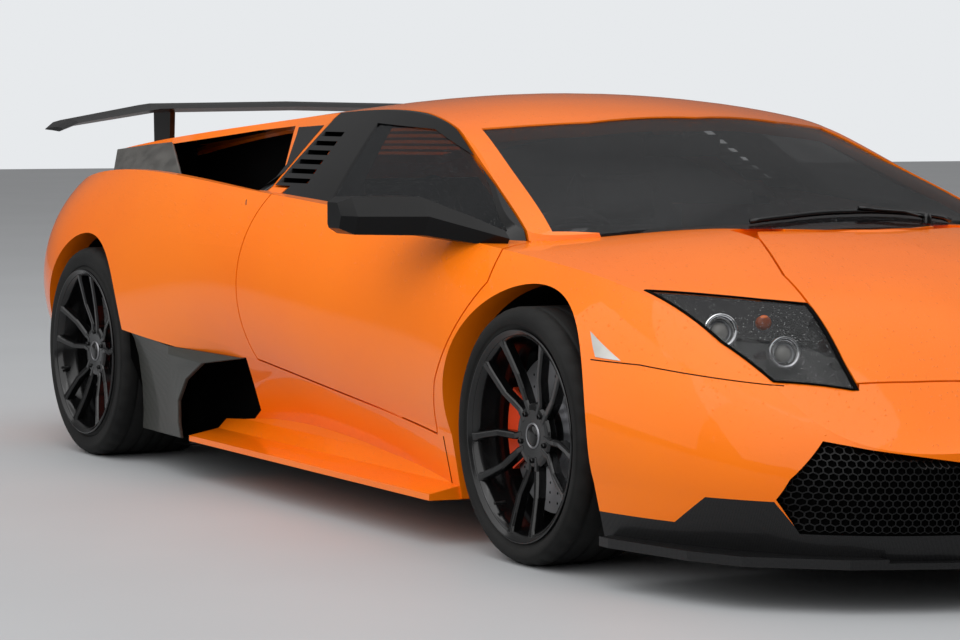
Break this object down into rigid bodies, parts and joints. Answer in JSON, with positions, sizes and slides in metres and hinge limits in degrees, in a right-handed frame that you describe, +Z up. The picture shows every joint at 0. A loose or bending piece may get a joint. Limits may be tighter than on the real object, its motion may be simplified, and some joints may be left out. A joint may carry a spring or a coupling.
{
  "type": "supercar",
  "caption": "Low mid-engined two-seat sports car with scissor doors, rear wing, side intakes and wide wheels.",
  "frame": {"origin": "on the ground under the middle of the car", "axes": "+X forward along the car, +Y to its left, +Z up"},
  "size_m": [4.704, 2.236, 1.1358],
  "materials": {
    "orange_paint": "high gloss",
    "black_trim": "satin",
    "grey_carbon": "satin",
    "clear_glass": "polished",
    "lamp_glass": "polished",
    "red_lens": "polished",
    "black_rim": "gloss",
    "tyre_rubber": "matt",
    "brake_iron": "turned",
    "orange_caliper": "gloss",
    "steel": "satin",
    "cabin_leather": "matt"
  },
  "bodies": {
    "root": {"calipers_rear": "orange_caliper", "dashboard": "cabin_leather", "diffuser": "black_trim", "engine": "steel", "exhaust": "steel", "floor_tub": "black_trim", "front_bumper": "orange_paint", "front_grilles": "black_trim", "front_splitter": "black_trim", "front_wings": "orange_paint", "headlamps": "lamp_glass", "rear_body": "orange_paint", "rear_bumper": "orange_paint", "rear_grilles": "black_trim", "rear_wing": "black_trim", "roof_frame": "orange_paint", "seats": "cabin_leather", "shoulder_scoops": "black_trim", "side_intakes": "grey_carbon", "sills": "orange_paint", "suspension": "steel", "tail_lamps": "red_lens", "wheel_houses": "black_trim", "windscreen": "clear_glass"},
    "door_left": {"door_left": "orange_paint", "door_frame_left": "black_trim", "door_glass_left": "clear_glass", "door_mirror_left": "black_trim"},
    "knuckle_left": {"knuckle_left": "steel", "caliper_front_left": "orange_caliper"},
    "wheel_front_left": {"rim_front_left": "black_rim", "tyre_front_left": "tyre_rubber", "disc_front_left": "brake_iron"},
    "wheel_rear_left": {"rim_rear_left": "black_rim", "tyre_rear_left": "tyre_rubber", "disc_rear_left": "brake_iron"},
    "door_right": {"door_right": "orange_paint", "door_frame_right": "black_trim", "door_glass_right": "clear_glass", "door_mirror_right": "black_trim"},
    "knuckle_right": {"knuckle_right": "steel", "caliper_front_right": "orange_caliper"},
    "wheel_front_right": {"rim_front_right": "black_rim", "tyre_front_right": "tyre_rubber", "disc_front_right": "brake_iron"},
    "wheel_rear_right": {"rim_rear_right": "black_rim", "tyre_rear_right": "tyre_rubber", "disc_rear_right": "brake_iron"},
    "bonnet": {"bonnet": "orange_paint"},
    "engine_cover": {"engine_cover": "orange_paint"},
    "steering_wheel": {"steering_wheel": "cabin_leather"}
  },
  "joints": [
    {"name": "steer_left", "type": "hinge", "parent": "root", "child": "knuckle_left", "pos_m": [1.2675, 0.7755, 0.311], "axis": [0, 0, 1], "range_deg": [-25, 25]},
    {"name": "steer_right", "type": "hinge", "parent": "root", "child": "knuckle_right", "pos_m": [1.2675, -0.7755, 0.311], "axis": [0, 0, 1], "range_deg": [-25, 25]},
    {"name": "roll_front_left", "type": "hinge", "parent": "knuckle_left", "child": "wheel_front_left", "pos_m": [1.2675, 0.8175, 0.311], "axis": [0, 1, 0], "continuous": true},
    {"name": "roll_rear_left", "type": "hinge", "parent": "root", "child": "wheel_rear_left", "pos_m": [-1.3975, 0.8475, 0.326], "axis": [0, 1, 0], "continuous": true},
    {"name": "swing_door_left", "type": "hinge", "parent": "root", "child": "door_left", "pos_m": [1.03, 0.8, 0.775], "axis": [0, 0.9816, -0.1908], "range_deg": [0, 65]},
    {"name": "roll_front_right", "type": "hinge", "parent": "knuckle_right", "child": "wheel_front_right", "pos_m": [1.2675, -0.8175, 0.311], "axis": [0, 1, 0], "continuous": true},
    {"name": "roll_rear_right", "type": "hinge", "parent": "root", "child": "wheel_rear_right", "pos_m": [-1.3975, -0.8475, 0.326], "axis": [0, 1, 0], "continuous": true},
    {"name": "swing_door_right", "type": "hinge", "parent": "root", "child": "door_right", "pos_m": [1.03, -0.8, 0.775], "axis": [0, 0.9816, 0.1908], "range_deg": [0, 65]},
    {"name": "lift_bonnet", "type": "hinge", "parent": "root", "child": "bonnet", "pos_m": [1.338, 0, 0.762], "axis": [0, -1, 0], "range_deg": [0, 55]},
    {"name": "lift_engine_cover", "type": "hinge", "parent": "root", "child": "engine_cover", "pos_m": [-0.808, 0, 1.07], "axis": [0, 1, 0], "range_deg": [0, 50]},
    {"name": "turn_steering_wheel", "type": "hinge", "parent": "root", "child": "steering_wheel", "pos_m": [0.47, -0.37, 0.655], "axis": [-0.9063, 0, 0.4226], "range_deg": [-300, 300]}
  ],
  "couplings": [
    {"joint": "steer_right", "follows": "steer_left", "ratio": 1},
    {"joint": "turn_steering_wheel", "follows": "steer_left", "ratio": 12}
  ]
}
